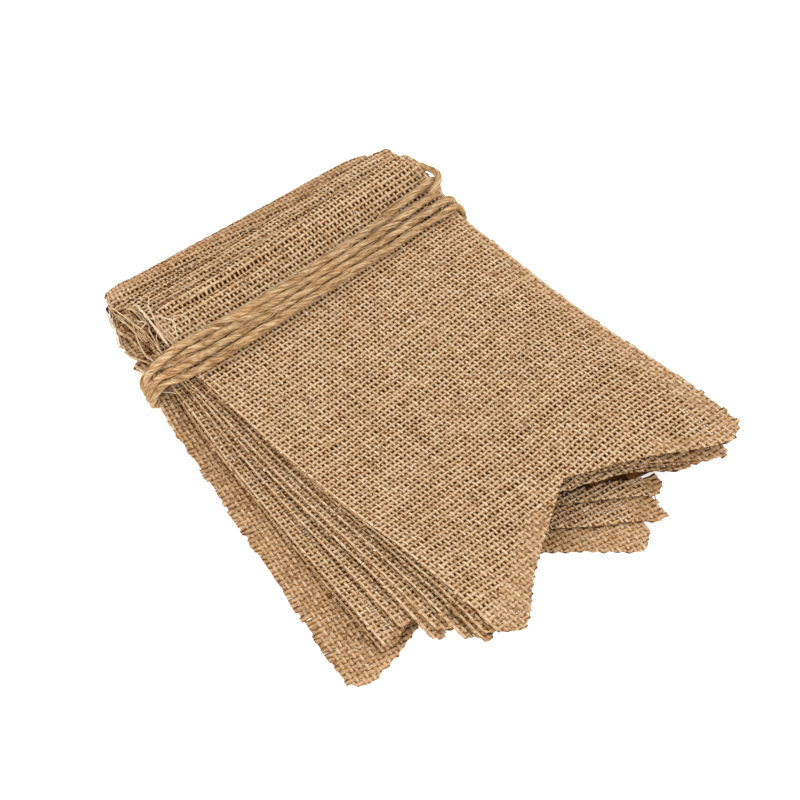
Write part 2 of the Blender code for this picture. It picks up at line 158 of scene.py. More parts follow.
def flatWeaveMaterial(name):
    # the plain sheet between the pennants: the same weave drawn from "yarn", which holds threads here; its
    # dark browns are painted shade, the shadow between the pennants
    paint, shader = newMaterial(name, burlapJute["roughness"])
    cloth = addNode(paint, "ShaderNodeAttribute", attribute_name="yarn")
    parts = addNode(paint, "ShaderNodeSeparateXYZ", [(0, cloth.outputs["Vector"])])

    def rounded(threads, power):
        wave = mathNode(paint, "SINE", mathNode(paint, "MULTIPLY", threads, math.pi))
        return mathNode(paint, "POWER", mathNode(paint, "ABSOLUTE", wave), power)

    thread = mathNode(paint, "MAXIMUM", rounded(parts.outputs[0], 0.7), rounded(parts.outputs[1], 0.5))
    grain = addNode(paint, "ShaderNodeTexNoise", [("Vector", cloth.outputs["Vector"]), ("Scale", 2.3),
                                                  ("Detail", 3.0)]).outputs["Fac"]
    tone = addNode(paint, "ShaderNodeAttribute", attribute_name="tone").outputs["Fac"]
    lightness = mathNode(paint, "MULTIPLY", thread, mapRange(paint, grain, 0.55, 1.0))
    lightness = mathNode(paint, "MULTIPLY", lightness, tone)
    # painted shade: near-black browns between the threads, seen through the holes of the weave above
    shades = [(0.0, (0.050, 0.016, 0.004)), (0.3, (0.150, 0.056, 0.014)), (0.65, (0.340, 0.170, 0.060)),
              (0.95, burlapJute["tan"])]
    paint.node_tree.links.new(ramp(paint, lightness, shades), shader.inputs["Base Color"])
    addBump(paint, shader, thread, 0.8, 0.0005)
    return paint


burlapYarn = yarnMaterial("burlap_yarn", burlapJute)
burlapFlat = flatWeaveMaterial("burlap_plain_shaded")
twineYarn = yarnMaterial("twine_yarn", twineJute)
print("materials made")


# meshes from arrays

def addMesh(name, points, faces, materials, attributes, looks=None):
    # faces: (rows, corners) arrays; looks: a material number for each face
    mesh = bpy.data.meshes.new(name)
    corners = np.concatenate([f.ravel() for f in faces])
    sizes = np.concatenate([np.full(len(f), f.shape[1]) for f in faces])
    mesh.vertices.add(len(points))
    mesh.vertices.foreach_set("co", (np.asarray(points) * mm).astype(np.float32).ravel())
    mesh.loops.add(len(corners))
    mesh.loops.foreach_set("vertex_index", corners.astype(np.int32))
    mesh.polygons.add(len(sizes))
    mesh.polygons.foreach_set("loop_start", (np.cumsum(sizes) - sizes).astype(np.int32))
    if looks is not None:
        mesh.polygons.foreach_set("material_index", looks.astype(np.int32))
    mesh.update(calc_edges=True)
    mesh.polygons.foreach_set("use_smooth", np.ones(len(sizes), dtype=bool))
    for key, values in attributes.items():
        kind = "FLOAT_VECTOR" if values.ndim == 2 else "FLOAT"
        layer = mesh.attributes.new(key, kind, "POINT")
        layer.data.foreach_set("vector" if values.ndim == 2 else "value", values.astype(np.float32).ravel())
    for paint in materials:
        mesh.materials.append(paint)
    mesh.validate()
    piece = bpy.data.objects.new(name, mesh)
    bpy.context.scene.collection.objects.link(piece)
    return piece


def countTriangles(faces):
    return sum(len(f) * (f.shape[1] - 2) for f in faces)


def unit(vectors):
    return vectors / np.maximum(np.linalg.norm(vectors, axis=-1, keepdims=True), 1e-9)


def ease(value, start, stop):
    # 0 at start, 1 at stop and straight between
    return np.clip((value - start) / (stop - start), 0, 1)


def soften(share):
    return share * share * (3 - 2 * share)


def threadRings(centre, forward, up, halfWide, halfHigh, lift):
    # left, top and right point of a thread's flattened section at each of its points
    right = unit(np.cross(forward, up))
    middle = centre + up * lift[:, None]
    low = middle - up * (0.25 * halfHigh)[:, None]
    side = right * halfWide[:, None]
    return np.stack([low - side, middle + up * halfHigh[:, None], low + side], 1)


def threadFaces(lengths, sides=3):
    # quads along every thread and a face at each end; lengths: points in each thread
    starts = np.cumsum(lengths) - lengths
    inner = np.ones(int(np.sum(lengths)), dtype=bool)
    inner[starts + lengths - 1] = False
    base = np.flatnonzero(inner) * sides
    quads = np.concatenate([np.stack([base + k, base + (k + 1) % sides, base + sides + (k + 1) % sides,
                                      base + sides + k], 1) for k in range(sides)])
    first, last = starts * sides, (starts + lengths - 1) * sides
    capA = np.stack([first + k for k in reversed(range(sides))], 1)
    capB = np.stack([last + k for k in range(sides)], 1)
    return [quads, np.concatenate([capA, capB])]


def evenPath(points, step, blur):
    # points every `step` along the path, its corners eased over `blur`
    points = np.asarray(points, dtype=float)
    run = np.concatenate([[0], np.cumsum(np.linalg.norm(np.diff(points, axis=0), axis=1))])
    marks = np.linspace(0, run[-1], max(4, int(round(run[-1] / step)) + 1))
    line = np.stack([np.interp(marks, run, axis) for axis in points.T], 1)
    reach = int(3 * blur / step)
    if reach:
        weights = np.exp(-0.5 * (np.arange(-reach, reach + 1) * step / blur) ** 2)
        weights /= weights.sum()
        ends = [2 * line[0] - line[reach:0:-1], line, 2 * line[-1] - line[-2:-reach - 2:-1]]
        line = np.stack([np.convolve(axis, weights, "valid") for axis in np.concatenate(ends).T], 1)
    return line


def carriedFrames(line):
    # two directions square to the path that turn no more than it does
    forward = unit(np.gradient(line, axis=0))
    side = unit(np.cross(forward[0], (0.31, 0.2, 1.0)))
    sides = []
    for direction in forward:
        side = side - direction * float(side @ direction)
        side = side / np.linalg.norm(side)
        sides.append(side)
    sides = np.array(sides)
    return forward, sides, np.cross(forward, sides)


def driftingNoise(rng, rows, marks, wavelength):
    # smooth random rows, about -1 to 1, that change over `wavelength`
    marks = np.asarray(marks, dtype=float)
    knots = np.arange(marks.min() - wavelength, marks.max() + 2 * wavelength, wavelength)
    values = np.clip(rng.normal(0, 0.5, (rows, len(knots))), -1, 1)
    place = (marks - knots[0]) / wavelength
    left = np.clip(place.astype(int), 0, len(knots) - 2)
    part = soften(place - left)
    return values[:, left] * (1 - part) + values[:, left + 1] * part


def sweep(line, sideA, sideB, size, around):
    # rings of points round a line, kept above the floor
    ring = line[:, None, :] + size[:, :, None] * (np.cos(around)[None, :, None] * sideA[:, None, :]
                                                  + np.sin(around)[None, :, None] * sideB[:, None, :])
    ring[:, :, 2] = np.maximum(ring[:, :, 2], 0.05)
    return ring


def tube(rng, line, radius, sides, tone, warmth, taper):
    # one uneven round thread along a line, thinner over its last `taper` mm
    run = np.concatenate([[0], np.cumsum(np.linalg.norm(np.diff(line, axis=0), axis=1))])
    _, sideA, sideB = carriedFrames(line)
    around = np.linspace(0, 2 * math.pi, sides, endpoint=False)
    size = radius * (1 + 0.22 * driftingNoise(rng, 1, run, 4)[0])
    size = size * np.clip(np.minimum(run, run[-1] - run) / taper, 0.35, 1)
    ring = sweep(line, sideA, sideB, np.repeat(size[:, None], sides, axis=1), around)
    own = rng.uniform(0, 90)
    swept = np.repeat(run, sides)
    across = np.tile(around * np.mean(radius), len(run)) + swept * 0.12
    return {"ring": ring, "yarn": np.stack([swept, across, np.full(len(swept), own)], 1),
            "tone": np.full(ring.shape[:2], tone), "warmth": np.full(ring.shape[:2], warmth)}


def addTubes(name, tubes, paint):
    lengths = np.array([len(t["ring"]) for t in tubes])
    faces = threadFaces(lengths, tubes[0]["ring"].shape[1])
    piece = addMesh(name, np.concatenate([t["ring"].reshape(-1, 3) for t in tubes]), faces, [paint],
                    {"yarn": np.concatenate([t["yarn"] for t in tubes]),
                     "tone": np.concatenate([t["tone"].ravel() for t in tubes]),
                     "warmth": np.clip(np.concatenate([t["warmth"].ravel() for t in tubes]), 0, 1)})
    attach(piece, "root")
    print(f"{name}: {len(tubes)} threads, {countTriangles(faces)} triangles")
    return piece


twine = {
    "length": 1.324, "diameter": 0.0029,     # metres
    "step": 0.9, "corner": 1.6,             # its corners are eased over this
    "radius": 1.42, "sides": 22,
    "twist": 26.0,                          # to one turn of its plies
    # soft ridges round the strand: how many, how high, and how much of the twist they follow
    "ridges": [(2, 0.11, 1.0), (5, 0.075, 0.9), (9, 0.05, 1.15)],
    # how much fuller it lies across the left half of the heading, and where that starts and is full
    "slack": 0.16, "slackX": (10.0, -25.0), "slackZ": (15.0, 21.0),
    # how light the strand is, how much painted shade lies in its grooves, and how red it is
    "tone": 0.42, "ridgeShade": 1.05, "warmth": 0.30,
    "hairs": 640, "hairLength": (3, 11), "hairLean": (0.15, 0.6), "hairRadius": (0.07, 0.12),
    # its way, as in the part's source: out of the top casing, four turns round the stack, and the
    # tail tucked under it
    "route": [
        (77.1, 80.4, 30.4), (84.2, 79.9, 30.9), (91.3, 78.0, 30.8), (94.3, 74.2, 31.1),
        (95.6, 69.7, 31.1), (95.3, 65.2, 32.1), (92.2, 61.3, 31.9), (87.1, 58.8, 30.0),
        (86.0, 59.3, 28.5), (52.0, 57.3, 28.0), (16.0, 56.4, 27.5), (-18.0, 56.9, 26.9),
        (-51.0, 58.5, 26.3), (-51.9, 58.6, 26.0), (-52.6, 58.9, 25.3), (-54.1, 60.8, 22.6),
        (-58.0, 68.7, 15.7), (-60.0, 72.0, 12.2), (-61.0, 72.9, 10.4), (-63.2, 73.2, 6.5),
        (-63.3, 73.2, 3.9), (-63.0, 73.2, 3.3), (-61.3, 73.2, 2.2), (-57.5, 72.9, 1.5),
        (85.4, 66.6, 1.5), (91.3, 66.4, 2.5), (92.5, 66.3, 3.2), (93.5, 65.8, 5.9), (96.9, 66.2, 17.7),
        (97.2, 66.2, 20.1), (93.0, 65.7, 29.4), (92.5, 65.7, 30.0), (91.1, 65.5, 30.6),
        (74.4, 63.2, 30.2), (56.4, 61.4, 29.8), (38.4, 60.2, 29.4), (20.4, 59.6, 29.0),
        (2.4, 59.5, 28.6), (-15.6, 60.0, 28.1), (-33.6, 61.2, 27.7), (-52.5, 62.9, 27.2),
        (-54.1, 63.1, 26.6), (-57.3, 64.4, 23.9), (-59.9, 66.2, 20.6), (-61.8, 68.1, 16.8),
        (-62.9, 69.6, 12.7), (-62.8, 70.1, 8.3), (-63.9, 70.1, 6.3), (-64.0, 70.1, 3.6),
        (-63.4, 70.1, 2.8), (-62.5, 70.1, 2.4), (-59.6, 70.1, 1.9), (-57.4, 69.4, 1.5),
        (86.8, 55.3, 1.6), (87.8, 55.2, 2.4), (88.6, 55.2, 3.8), (89.7, 54.3, 5.5), (96.1, 54.5, 16.2),
        (96.3, 54.5, 17.3), (96.1, 54.5, 19.1), (92.9, 54.4, 25.9), (92.4, 54.4, 26.5),
        (91.0, 54.3, 27.0), (48.3, 53.5, 26.5), (4.3, 53.4, 25.9), (-43.7, 54.0, 25.2),
        (-51.1, 54.4, 26.1), (-52.1, 54.6, 26.0), (-53.6, 55.0, 25.2), (-55.6, 56.8, 23.1),
        (-59.2, 61.8, 18.1), (-61.2, 64.9, 14.4), (-62.0, 66.0, 12.5), (-62.6, 66.7, 10.5),
        (-62.9, 66.9, 8.5), (-64.6, 66.9, 5.9), (-64.9, 66.9, 4.8), (-64.8, 66.9, 3.2),
        (-64.2, 66.9, 2.2), (-63.0, 66.9, 1.8), (-56.9, 66.1, 1.5), (60.7, 53.4, 1.5), (79.0, 51.5, 1.8),
        (86.1, 50.7, 3.5), (87.1, 50.6, 4.4), (88.4, 49.8, 6.0), (94.0, 49.7, 13.2), (95.8, 49.7, 15.9),
        (96.2, 49.7, 17.1), (95.9, 49.7, 19.0), (92.8, 49.7, 24.6), (92.3, 49.7, 25.1),
        (91.1, 49.7, 25.6), (80.7, 49.9, 25.7), (27.1, 50.3, 24.9), (-46.9, 49.8, 23.9),
        (-51.0, 50.5, 23.8), (-52.2, 51.1, 23.4), (-53.8, 53.0, 21.3), (-58.4, 60.3, 14.8),
        (-60.7, 62.9, 11.5), (-61.9, 63.6, 9.9), (-65.3, 63.7, 4.9), (-65.6, 63.7, 3.5),
        (-65.3, 63.7, 2.3), (-63.6, 63.6, 1.5), (-22.3, 57.6, 1.5)
    ],
}


def twineStrand(rng, line, sideA, sideB, full):
    run = np.arange(len(line)) * twine["step"]
    turn = 2 * math.pi * run / twine["twist"] + 1.5 * driftingNoise(rng, 1, run, 40)[0]
    around = np.linspace(0, 2 * math.pi, twine["sides"], endpoint=False)
    relief = np.zeros((len(run), len(around)))
    for count, height, follows in twine["ridges"]:
        wander = 1.6 * driftingNoise(rng, 1, run, 12)[0]
        strength = 1 + 0.5 * driftingNoise(rng, 1, run, 7)[0]
        wave = np.cos(count * (around[None, :] - follows * turn[:, None]) + wander[:, None])
        relief += height * strength[:, None] * (1 - 2 * np.abs(wave * 0.5 - 0.5) ** 1.6)
    size = twine["radius"] * full * (1 + 0.07 * driftingNoise(rng, 1, run, 10)[0])
    swept = np.broadcast_to(run[:, None], relief.shape)
    lay = (around[None, :] - turn[:, None]) * twine["radius"]
    # painted shade in the grooves between the ridges, a little painted highlight on their tops, and the
    # grooves painted redder
    tone = twine["tone"] + twine["ridgeShade"] * np.clip(relief, -0.3, 0.08)
    tone = tone + 0.10 * driftingNoise(rng, 1, run, 11)[0][:, None]
    warmth = twine["warmth"] + 0.35 * driftingNoise(rng, 1, run, 18)[0][:, None] - 0.8 * relief
    return {"ring": sweep(line, sideA, sideB, size[:, None] * (1 + relief), around),
            "yarn": np.stack([swept, lay, 0 * lay + 17.0], -1).reshape(-1, 3), "tone": tone, "warmth": warmth}


def twineFuzz(rng, line, forward, sideA, sideB, full):
    hairs = []
    while len(hairs) < twine["hairs"]:
        k = rng.integers(3, len(line) - 3)
        angle = rng.uniform(0, 2 * math.pi)
        out = sideA[k] * math.cos(angle) + sideB[k] * math.sin(angle)
        if line[k, 2] < 5 or out[2] < -0.2:         # none underneath
            continue
        length, lean = rng.uniform(*twine["hairLength"]), rng.uniform(*twine["hairLean"])
        ahead = forward[k] * rng.choice([-1, 1])
        bend = unit(np.cross(ahead, out)) * rng.normal(0, 0.35)
        share = np.linspace(0, 1, 6)[:, None]
        rise = 1.25 * full[k] + length * lean * (share - 0.75 * share ** 2)
        way = line[k] + out * rise + ahead * share * length + bend * length * share ** 2
        hairs.append(tube(rng, way, rng.uniform(*twine["hairRadius"]), 3, rng.choice([0.25, 0.75, 0.9]),
                          rng.uniform(0, 0.6), 1.5))
    return hairs


def makeTwine():
    rng = np.random.default_rng(41)
    line = evenPath(twine["route"], twine["step"], twine["corner"])
    forward, sideA, sideB = carriedFrames(line)
    full = ease(line[:, 0], *twine["slackX"]) * ease(line[:, 2], *twine["slackZ"])
    full = 1 + twine["slack"] * soften(full)
    piece = addTubes("twine", [twineStrand(rng, line, sideA, sideB, full)], twineYarn)
    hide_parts("twine_tie")
    fuzz = addTubes("twine_hairs", twineFuzz(rng, line, forward, sideA, sideB, full), twineYarn)


makeTwine()
print("twine laid")


cloth = {
    "width": 142.0, "notch": 40.0, "headWear": 2.5, "casing": 21.0, "thick": 1.0,
    "warps": 68, "weftPitch": 2.42,
    "warpWide": 1.40, "weftWide": 2.02, "warpHigh": 0.30, "weftHigh": 0.24, "crimp": 0.27,
    # unevenness of the weave: how much, and over what length
    "warpDrift": [(0.20, 17), (0.24, 4.5)], "weftDrift": [(0.16, 19), (0.26, 5)],
    "bow": [(0.9, 60), (0.35, 22)], "slubs": [(0.10, 9), (0.22, 3.0)],
    "toneDrift": [(0.06, 12), (0.12, 2.6)], "warmthDrift": [(0.16, 16), (0.15, 4)],
    "warpTone": 0.10, "edgeWarpTone": 0.15, "weftTone": -0.02,
    # how far a thread goes past its cut: by scissors, warps, wefts, and wefts of a frayed side
    "cutEnds": (-0.15, 0.2), "warpEnds": (-0.5, 0.7), "weftEnds": (-0.55, -0.1), "frayedEnds": (-1.0, 0.9),
    "shade": 0.19, "pinholeShade": 0.30,     # painted shade: how much darker a thread is at its sides, and more beside a hole
    "under": 0.16,                      # painted shade where it dips under
    # painted shade beside a pennant above: along its head, its sides and its tips
    "headReach": 4.8, "headDepth": 0.30, "sideReach": 1.0, "sideDepth": 0.13, "tipDepth": 0.06,
    "tipPaintedLight": 0.12, "tipReach": 15.0,     # and how much painted light lies beyond the tips, and over what length
    "shadeWarmth": 0.6, "lightWarmth": 2.5,     # how much redder the painted shade and the painted light make it
    "roll": 0.9, "fullRoll": 6.0,       # how far a head swells, in full where this much of it shows
    # crease: how wide it is, and how much painted shade lies along it
    "creaseWide": 1.4, "creaseShade": 0.17,
    "tucked": 0.42,                     # painted shade: how much darker a head fold is on its under half
    # painted light at the left end of the heading: how much, and where it sets in and is full
    "leftPaintedLight": 0.14, "leftAcross": (58, 70), "leftAhead": (30, 18),
    # where no other pennant lies below, threads look closer set, with a painted shade that darkens them and
    # less of the painted shade at their sides
    "overFloor": 1.16, "closedWarp": 0.90, "closedWeft": 1.22, "floorPaintedShade": -0.07, "floorShade": 0.45,
    "floorEdge": 6.0, "floorHead": 2.0,     # this begins so far in from the edges and head of the one below
    "stackPaintedLight": 0.08,                  # and a painted light that makes them lighter where one does, except on the top pennant
    "hiddenBehind": 7.0,                # how far in under the pennant above the threads go on
    "swingFrom": 40.0,                  # how far across the pull on an edge begins
}
halfWidth = cloth["width"] / 2
# how many places the lie of a pennant is felt at, and from what heights, in metres
feltAt = {"across": 31, "ahead": 64, "deep": 9, "above": 0.2, "below": -0.1}

# turn, x, y, length, skew, uneven, taper and wear are as in the part's source; every length below
# runs across the cloth from its middle or ahead of its head fold
# warmth: redder lower down
# fray: side, from and to, and how deep the warps are gone
# left, right: ahead, and how far the edge is drawn out there (in, below 0)
# tips: across, and how much shorter the cloth is; head: across, and how much fuller the fold
# ledge: how strongly the painted shade of its head falls on the cloth below; crease: across, ahead, and how
# deep
stackShift = (20.745, 78.663)
leftFray = (-1, -30, 4, 1.6)
pennants = [
    {"turn": 13.2, "x": -6.5, "y": 4.0, "length": 205, "skew": 8.0, "uneven": 3.0, "taper": 1, "wear": 9,
     "warmth": 0.45, "fray": [(-1, 40, 205, 2.6)],
     "left": [(0, -0.8), (4, -1.5), (9, -3.0), (14, -2.0), (20, 0)],
     "right": [(150, 0), (190, -2.5), (240, -2.5)],
     "tips": [(-71, 4), (-66, 2.6), (-60, 2), (-54, 1.2), (-48, 0), (42, 0), (56, -0.2), (64, 0), (68, 2.6),
              (71, 2.6)]},
    {"turn": 10.8, "x": 2.0, "y": 22.0, "length": 223, "skew": 3.0, "uneven": 2.0, "taper": 7, "wear": 9,
     "warmth": 0.50, "fray": [leftFray, (1, 150, 240, 4.4)],
     "left": [(0, 0.8), (7.6, 4.0), (12.3, 5.0), (20, 5.0), (28, 0)],
     "tips": [(-71, 8), (-66, 12), (-60, 13.5), (-52, 13), (-20, 12), (0, 4), (10, 3), (30, 4.3), (40, 5),
              (50, 6.5), (60, 7.7), (64, 6.5), (68, 3.2), (71, 2.2)]},
    {"turn": 9.4, "x": 3.5, "y": 38.0, "length": 229, "skew": 4.5, "uneven": 7.0, "taper": 3, "wear": 9,
     "warmth": 0.40, "fray": [leftFray, (1, 160, 245, 3.2)],
     "left": [(0, -2.2), (7.4, 0), (14, 2.0), (18, 2.0), (24, 0)],
     "right": [(150, 0), (200, 0.8), (240, 0.8)],
     "tips": [(-71, 5), (-66, 8.5), (-60, 9.2), (-50, 9), (-20, 8), (0, 3), (20, 0), (30, 1), (60, 1),
              (66, 0), (71, 0)]},
    {"turn": 7.4, "x": 5.0, "y": 41.0, "length": 223, "skew": 4.0, "uneven": 4.0, "taper": 3, "wear": 9,
     "warmth": 0.40, "fray": [leftFray],
     "left": [(0, -1.6), (6, 0)],
     "tips": [(-71, -2), (-66, 0.5), (-60, 2.5), (-45, 3), (-30, 0)],
     "head": [(-71, 1.2), (-64, 1.4), (-58, 0.4), (-52, 0)]},
    {"turn": 5.0, "x": 2.0, "y": 31.0, "length": 225, "skew": 2.0, "uneven": 4.0, "taper": 2, "wear": 9,
     "warmth": 0.35, "fray": [leftFray],
     "tips": [(-71, 0), (-62, 5), (-45, 5), (-30, 0), (15, 0), (30, 5), (71, 6)]},
    {"turn": 4.2, "x": 1.5, "y": 25.0, "length": 222, "skew": 1.0, "uneven": 4.0, "taper": 2, "wear": 9,
     "warmth": 0.35, "fray": [leftFray],
     "tips": [(-71, 6), (-45, 6), (-30, 3), (-15, 0), (15, 0), (30, 4), (71, 5)]},
    {"turn": 3.6, "x": 4.0, "y": 24.5, "length": 225, "skew": 4.0, "uneven": 5.0, "taper": 2, "wear": 8,
     "warmth": 0.30, "fray": [leftFray],
     "tips": [(-71, 2), (-45, 2), (-20, 0), (20, 0), (40, 3.5), (71, 4.5)]},
    {"turn": 3.2, "x": 5.0, "y": 19.5, "length": 225, "skew": 5.0, "uneven": 5.0, "taper": 3, "wear": 8,
     "warmth": 0.30, "fray": [leftFray], "ledge": 1.0,
     "tips": [(-71, 0), (-64, 5), (-45, 6), (-30, 3), (-10, 0), (5, 0), (16, 5.4), (50, 5.3), (60, 4.7),
              (65, 4), (71, 1)]},
    {"turn": 1.4, "x": 1.5, "y": 10.5, "length": 212, "skew": 1.0, "uneven": 4.0, "taper": 1, "wear": 7,
     "warmth": 0.20, "fray": [(1, 150, 212, 1.6), leftFray],
     "tips": [(5, 0), (30, 2.2), (60, 2.4), (71, 0.5)]},
    {"turn": 0.6, "x": -0.4, "y": 4.5, "length": 210, "skew": 1.0, "uneven": 4.0, "taper": 0, "wear": 6,
     "warmth": 0.10, "fray": [(1, 165, 212, 2.4), (-1, -30, 2, 1.4)], "ledge": 1.0,
     "left": [(120, 0), (190, -3.0), (240, -3.0)],
     "right": [(0, 1.0), (6, 2.0), (20, 2.0), (35, 0), (125, 0), (180, 3.0), (240, 3.2)],
     "tips": [(-71, 3), (-66, 0.5), (-60, -2.5), (-52, -2.5), (-44, -1), (-36, 0), (54, 0), (62, 1.5),
              (71, 6)],
     "crease": [(-71, 2.2, 0.4), (-64, 2.8, 1.1), (-52, 4.2, 1.3), (-40, 5.5, 1.3), (-26, 5.6, 1.1),
                (-12, 5.2, 0.8), (3, 4.8, 0.5), (20, 4.8, 0)]},
]


def toFrame(p, u, v):
    turn = math.radians(p["turn"])
    return (stackShift[0] + p["x"] + u * math.cos(turn) + v * math.sin(turn),
            stackShift[1] + p["y"] - u * math.sin(turn) + v * math.cos(turn))


def toPennant(p, x, y):
    turn = math.radians(p["turn"])
    x, y = x - stackShift[0] - p["x"], y - stackShift[1] - p["y"]
    return x * math.cos(turn) - y * math.sin(turn), x * math.sin(turn) + y * math.cos(turn)


def listed(p, key, place):
    # value of one of a pennant's lists at a place, 0 where it has none
    return np.interp(place, *np.array(p.get(key, [(0, 0)])).T)


def foldLine(p, u):
    worn = ease(np.abs(u) / halfWidth, 0.82, 1)
    return u * math.tan(math.radians(p["skew"])) - cloth["headWear"] * worn ** 2 + listed(p, "head", u)


def tipLine(p, u):
    side = np.clip(np.abs(u) / halfWidth, 0, 1)
    worn = ease(side, 0.84, 1)
    return (p["uneven"] * np.asarray(u) / halfWidth - p["length"] + cloth["notch"] * (1 - side)
            + p["wear"] * worn ** 2 + listed(p, "tips", u))


def narrowing(p, v):
    return 1 - p["taper"] / halfWidth * np.clip(-np.asarray(v) / p["length"], 0, 1) ** 2


def swing(p, u, ahead):
    # how far the left and right edges are drawn out (or in), eased towards the middle
    return sum(way * listed(p, key, ahead) * soften(ease(way * u, cloth["swingFrom"], halfWidth))
               for key, way in (("left", -1), ("right", 1)))


def creased(p, u, ahead):
    # depth of the soft crease beside a head fold
    if "crease" not in p:
        return 0 * u
    us, aheads, depths = np.array(p["crease"]).T
    away = (ahead - np.interp(u, us, aheads)) / cloth["creaseWide"]
    return np.interp(u, us, depths) * np.exp(-away ** 2)


def swelling(lie, u, ahead):
    # the soft roll of a head as far as it shows, less its crease
    shows = np.interp(u, lie["us"], lie["shows"])
    bulge = np.sin(math.pi * np.clip(ahead / np.maximum(shows, 0.5), 0, 1))
    rise = cloth["roll"] * np.clip(shows / cloth["fullRoll"], 0, 1) * bulge
    return np.where(ahead > 0, rise - creased(lie["p"], u, ahead), 0)


def headShows(number, p, us):
    # how far ahead of its fold each head is seen, before the pennants above cover it
    step = 0.5
    u, ahead = np.meshgrid(us, np.arange(0, 16, step))
    covered = np.zeros(u.shape, dtype=bool)
    for above in pennants[number:]:
        across, along = toPennant(above, *toFrame(p, u, foldLine(p, u) - ahead))
        covered |= (along < foldLine(above, across) + 1.5) & (np.abs(across) < halfWidth + 1)
    return np.where(covered.any(0), step * covered.argmax(0), 0)


def smoothed(grid, times):
    for _ in range(times):
        for axis in (0, 1):
            wide = np.concatenate([np.take(grid, [0], axis), grid, np.take(grid, [-1], axis)], axis)
            count = grid.shape[axis]
            grid = sum(k * np.take(wide, range(start, start + count), axis)
                       for start, k in enumerate((0.25, 0.5, 0.25)))
    return grid


def between(grid, row, column):
    # value of a grid between its points
    row = np.clip(row, 0, grid.shape[0] - 1.001)
    column = np.clip(column, 0, grid.shape[1] - 1.001)
    r, c = row.astype(int), column.astype(int)
    s, t = row - r, column - c
    return ((1 - s) * ((1 - t) * grid[r, c] + t * grid[r, c + 1])
            + s * ((1 - t) * grid[r + 1, c] + t * grid[r + 1, c + 1]))


def feelHeights(tree, x, y, startZ, way):
    # heights in mm where rays straight down or up meet the solid
    heights = np.full(x.shape, np.nan)
    for place in np.ndindex(x.shape):
        hit = tree.ray_cast(Vector((x[place] * mm, y[place] * mm, startZ)), Vector((0, 0, way)))[0]
        if hit is not None:
            heights[place] = hit.z / mm
    known = ~np.isnan(heights)
    for row, good in zip(heights, known):       # a miss takes its neighbours' height
        if good.any() and not good.all():
            row[~good] = np.interp(np.flatnonzero(~good), np.flatnonzero(good), row[good])
    return heights


def readLie(number, p):
    # how the pennant lies: heights of its face and casing, felt on its CAD solid from above and below
    solid = bmesh.new()
    solid.from_mesh(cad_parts[f"pennant_{number:02d}"].data)
    bmesh.ops.remove_doubles(solid, verts=solid.verts, dist=1e-6)
    tree = BVHTree.FromBMesh(solid)
    solid.free()

    us = np.linspace(-halfWidth, halfWidth, feltAt["across"])
    within = np.clip(us, -0.972 * halfWidth, 0.972 * halfWidth)
    share = np.linspace(0, 1, feltAt["ahead"])
    edge, end = foldLine(p, within), tipLine(p, within)
    v = edge + np.clip(share, 0.006, 0.985)[:, None] * (end - edge)
    face = feelHeights(tree, *toFrame(p, within * narrowing(p, v), v), feltAt["above"], -1)
    deep = np.linspace(0, cloth["casing"], feltAt["deep"])[:, None]
    twist = 2 * math.radians(p["skew"])
    inside = np.clip(deep, 0.8, cloth["casing"] - 0.8)
    below = toFrame(p, within + inside * math.sin(twist), edge - inside * math.cos(twist))
    casing = feelHeights(tree, *below, feltAt["below"], 1)
    face, casing = smoothed(face - cloth["thick"] / 2, 2), smoothed(casing + cloth["thick"] / 2, 1)
    radius = np.maximum((face[0] - casing[0]) / 2, 0.5)
    return {"p": p, "us": us, "face": face, "casing": casing, "low": casing[0], "radius": radius,
            "twist": twist, "shows": headShows(number, p, us)}


def foldRadius(lie, u):
    return np.interp(u, lie["us"], lie["radius"])


def onCloth(lie, u, w):
    # a point of the flat cloth, u across and w along it, as it lies; w falls from the raw edge of
    # the casing, round the head fold, to the tips
    p = lie["p"]
    column = (np.clip(u, -halfWidth, halfWidth) + halfWidth) / cloth["width"] * (len(lie["us"]) - 1)
    radius = foldRadius(lie, u)
    edge = foldLine(p, u)
    ahead = edge - w
    share = np.clip(ahead / (edge - tipLine(p, u)), 0, 1)
    deep = np.maximum(-ahead - math.pi * radius, 0)
    out = swing(p, u, np.where(ahead > 0, ahead, deep))
    faceX, faceY = toFrame(p, u * narrowing(p, w) + out, w)
    faceZ = between(lie["face"], share * (len(lie["face"]) - 1), column) + swelling(lie, u, ahead)
    angle = np.clip(math.pi / 2 + ahead / radius, -math.pi / 2, math.pi / 2)
    foldX, foldY = toFrame(p, u + out, edge + radius * np.cos(angle))
    foldZ = np.interp(u, lie["us"], lie["low"]) + radius + radius * np.sin(angle)
    twist = lie["twist"]
    casingX, casingY = toFrame(p, u + out + deep * math.sin(twist), edge - deep * math.cos(twist))
    casingZ = between(lie["casing"], deep / cloth["casing"] * (len(lie["casing"]) - 1), column)
    onFace, onCasing = ahead >= 0, ahead <= -math.pi * radius
    return np.stack([np.where(onFace, a, np.where(onCasing, c, b)) for a, b, c in (
        (faceX, foldX, casingX), (faceY, foldY, casingY), (faceZ, foldZ, casingZ))], -1)


def onClothFrames(lie, u, w):
    # the same point with the directions across and along the cloth and out of its face
    here = onCloth(lie, u, w)
    across = unit(onCloth(lie, u + 0.6, w) - onCloth(lie, u - 0.6, w))
    along = unit(onCloth(lie, u, w + 0.35) - onCloth(lie, u, w - 0.35))
    return here, across, along, unit(np.cross(across, along))


def insideCut(lie, u, w):
    # how far inside the cut cloth a point is, but for its two long sides; negative outside
    p = lie["p"]
    head = foldLine(p, u) + math.pi * foldRadius(lie, u) + cloth["casing"]
    return np.minimum(w - tipLine(p, u), head - w)


